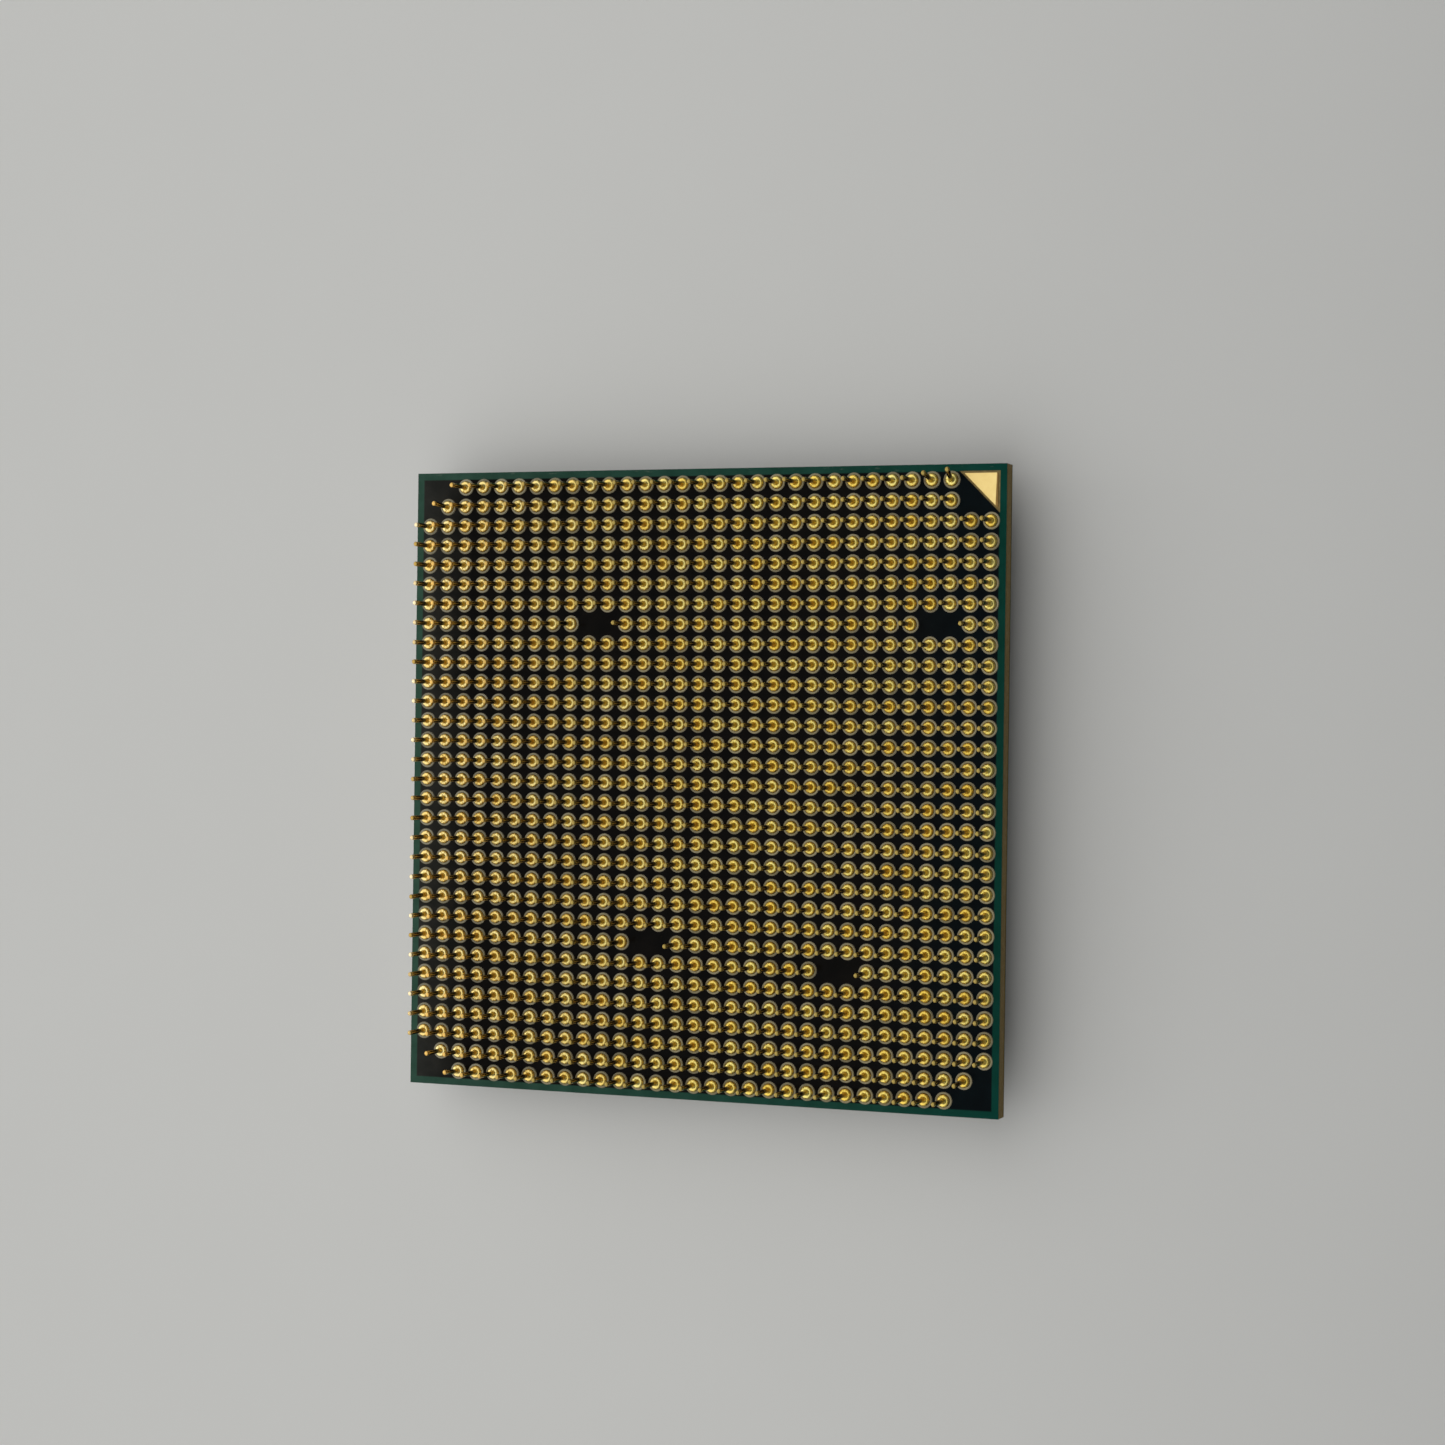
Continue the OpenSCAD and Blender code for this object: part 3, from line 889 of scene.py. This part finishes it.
def make_ring():
    deselect_all()
    bpy.ops.mesh.primitive_circle_add(vertices=len(RING_PROFILE), radius=COLLAR_R, fill_type="NOTHING")
    ring = bpy.context.object
    bpy.ops.object.mode_set(mode="EDIT")
    edit = bmesh.from_edit_mesh(ring.data)
    for corner, (radius, height) in zip(edit.verts, RING_PROFILE):
        corner.co = (radius, 0.0, FACE_Z + height)
    bmesh.update_edit_mesh(ring.data)
    bpy.ops.mesh.select_all(action="SELECT")
    bpy.ops.mesh.spin(steps=RING_SIDES, angle=2 * math.pi, center=(0, 0, 0), axis=(0, 0, 1))
    bpy.ops.mesh.select_all(action="SELECT")
    bpy.ops.mesh.remove_doubles(threshold=SEAM_GAP)
    bpy.ops.mesh.normals_make_consistent(inside=False)
    bpy.ops.object.mode_set(mode="OBJECT")
    bpy.ops.object.shade_smooth_by_angle(angle=math.radians(40))
    return ring


master_ring = make_ring()
print("faces in one ring:", len(master_ring.data.polygons))
rings = [copy_of(master_ring, (x, y, 0), dice.uniform(0, 2 * math.pi), dice.random()) for x, y in SITES]
finish_piece(join(rings), "solder_rings", ["pin_solder"], SOLDER)
bpy.data.objects.remove(master_ring)

# %% [markdown]
# ## Paper
# The package lies on a sheet of white paper, which is painted a little darker towards +X, a painted falloff
# of the light from the -X side. Its finish shows from above only, so that the package can be looked at from
# below
# as well: on the back of the sheet the shader gives way to a clear one.

# %% Paper finish
PAPER_REACH = 2.4 * HALF_W


def make_paper():
    finish, tree, shader = new_finish("paper", IOR=1.4, Specular_IOR_Level=0.2, Roughness=0.9)
    where = place_on_object(tree)
    cloud = noise(tree, where, 90.0, 4.0)
    # Painted light: the sheet is painted darker towards +X, a painted falloff of the light from the -X side.
    white = mix_colour(tree, cloud, (0.652, 0.653, 0.640), (0.668, 0.669, 0.656))
    grey = mix_colour(tree, cloud, (0.545, 0.546, 0.537), (0.558, 0.559, 0.550))
    along = remap(tree, coordinate(tree, where, 0), -PAPER_REACH, PAPER_REACH, 0.0, 1.0)
    painted_falloff = calc(tree, "POWER", along, 2.5)
    tree.links.new(mix_colour(tree, painted_falloff, white, grey), shader.inputs["Base Color"])
    from_above = add(tree, "ShaderNodeMixShader")
    tree.links.new(add(tree, "ShaderNodeNewGeometry").outputs["Backfacing"], from_above.inputs[0])
    tree.links.new(shader.outputs[0], from_above.inputs[1])
    tree.links.new(add(tree, "ShaderNodeBsdfTransparent").outputs[0], from_above.inputs[2])
    tree.links.new(from_above.outputs[0], tree.nodes["Material Output"].inputs["Surface"])
    return finish


# %% [markdown]
# The sheet is open under the lid's flat face, because a face that lies right on paper would get no light from
# below. The opening is drawn first, as a round-cornered square. Extruding it and widening the copy gives the
# sheet, and the two faces that close the opening are deleted.

# %% Paper sheet
PAPER_HALF = 4.0


def make_sheet():
    """A wide sheet, open where the lid's flat face stands."""
    ground_z = cad_box[0][2]
    flat_half = LID_HIGH[0] - FLANGE_STEP - LID_RIM
    widen = PAPER_HALF / flat_half
    deselect_all()
    bpy.ops.mesh.primitive_plane_add(size=2 * flat_half, location=(0, 0, ground_z))
    sheet = bpy.context.object
    settle(sheet)
    bpy.ops.object.mode_set(mode="EDIT")
    bpy.ops.mesh.select_all(action="SELECT")
    bpy.ops.mesh.bevel(offset=LID_CORNER - LID_RIM, segments=8, affect="VERTICES")
    bpy.ops.mesh.select_all(action="SELECT")
    bpy.ops.mesh.extrude_region()
    bpy.ops.transform.resize(value=(widen, widen, 1.0), center_override=(0, 0, ground_z))
    bpy.ops.mesh.delete(type="FACE")
    pick_faces(sheet, lambda centre, normal: centre.length < MM)
    bpy.ops.mesh.delete(type="FACE")
    bpy.ops.object.mode_set(mode="OBJECT")
    if sheet.data.polygons[0].normal.z < 0:
        sheet.data.flip_normals()
    return sheet


paper = make_sheet()
paper.name = "paper"
paper.data.materials.append(make_paper())
print("paper faces:", len(paper.data.polygons), "looking up:", paper.data.polygons[0].normal.z > 0)

# %% [markdown]
# ## Light
# A soft sky on the -X side and overhead gives most of the light, and one low window adds the glints. Metal
# shows what stands round it, so the surround is dark on the +X side, with a pale band along the horizon and a
# pale ground below it. The light is set so that a surface renders about as its colour is written.

# %% Light
SKY_RISE, SKY_TURN = math.radians(46), math.radians(185)
SKY_SPREAD = (0.14, 0.52)
SKY_GLOW, SHADE_GLOW = 1.09, 0.02
HORIZON_GLOW, GROUND_GLOW = 0.45, 0.85


def make_surround():
    world = bpy.data.worlds.new("surround")
    world.use_nodes = True
    tree = world.node_tree
    away = add(tree, "ShaderNodeTexCoord").outputs["Generated"]
    towards = add(tree, "ShaderNodeVectorMath", operation="DOT_PRODUCT")
    towards.inputs[1].default_value = (math.cos(SKY_RISE) * math.cos(SKY_TURN),
                                       math.cos(SKY_RISE) * math.sin(SKY_TURN), math.sin(SKY_RISE))
    tree.links.new(away, towards.inputs[0])
    sky = remap(tree, towards.outputs["Value"], *SKY_SPREAD, SHADE_GLOW, SKY_GLOW, smooth=True)
    rise = coordinate(tree, away, 2)
    band = remap(tree, rise, 0.06, 0.20, 1.0, 0.0, smooth=True)
    below = remap(tree, rise, -0.30, -0.05, GROUND_GLOW, HORIZON_GLOW, smooth=True)
    background = tree.nodes["Background"]
    background.inputs["Color"].default_value = (1.0, 1.0, 0.985, 1.0)
    glow = calc(tree, "MAXIMUM", sky, calc(tree, "MULTIPLY", band, below))
    tree.links.new(glow, background.inputs["Strength"])
    return world


def add_window(azimuth, rise, away):
    lamp = bpy.data.lights.new("window", "AREA")
    lamp.shape = "RECTANGLE"
    lamp.size, lamp.size_y, lamp.energy = 0.55, 0.26, 0.6
    holder = bpy.data.objects.new("window", lamp)
    bpy.context.collection.objects.link(holder)
    flat = away * math.cos(rise)
    holder.location = (flat * math.cos(azimuth), flat * math.sin(azimuth), away * math.sin(rise))
    holder.rotation_euler = (-holder.location).to_track_quat("-Z", "Y").to_euler()
    return holder


bpy.context.scene.world = make_surround()
window = add_window(math.radians(182), math.radians(26), 1.0)
bpy.context.scene.view_settings.view_transform = "Standard"
print("window stands at", [round(value, 2) for value in window.location])

# %% [markdown]
# ## Camera
# The camera looks down from above and from the +X side, so the pins lean away from it towards -X, and the
# board's +X edge shows. A fairly long lens keeps the grid nearly square.

# %% Camera
EYE_PLACE = (69.152 * MM, 4.568 * MM, 175.382 * MM + FACE_Z)
EYE_TURN = (0.109, 21.053, 0.827)
eye = bpy.data.cameras.new("eye")
eye.lens, eye.sensor_width = 74.17, 36.0
eye.clip_start, eye.clip_end = 0.005, 10.0
camera = bpy.data.objects.new("eye", eye)
bpy.context.collection.objects.link(camera)
camera.location = EYE_PLACE
camera.rotation_euler = [math.radians(turn) for turn in EYE_TURN]
bpy.context.scene.camera = camera
print("camera stands", round(camera.location.length, 3), "m from the middle of the lid")
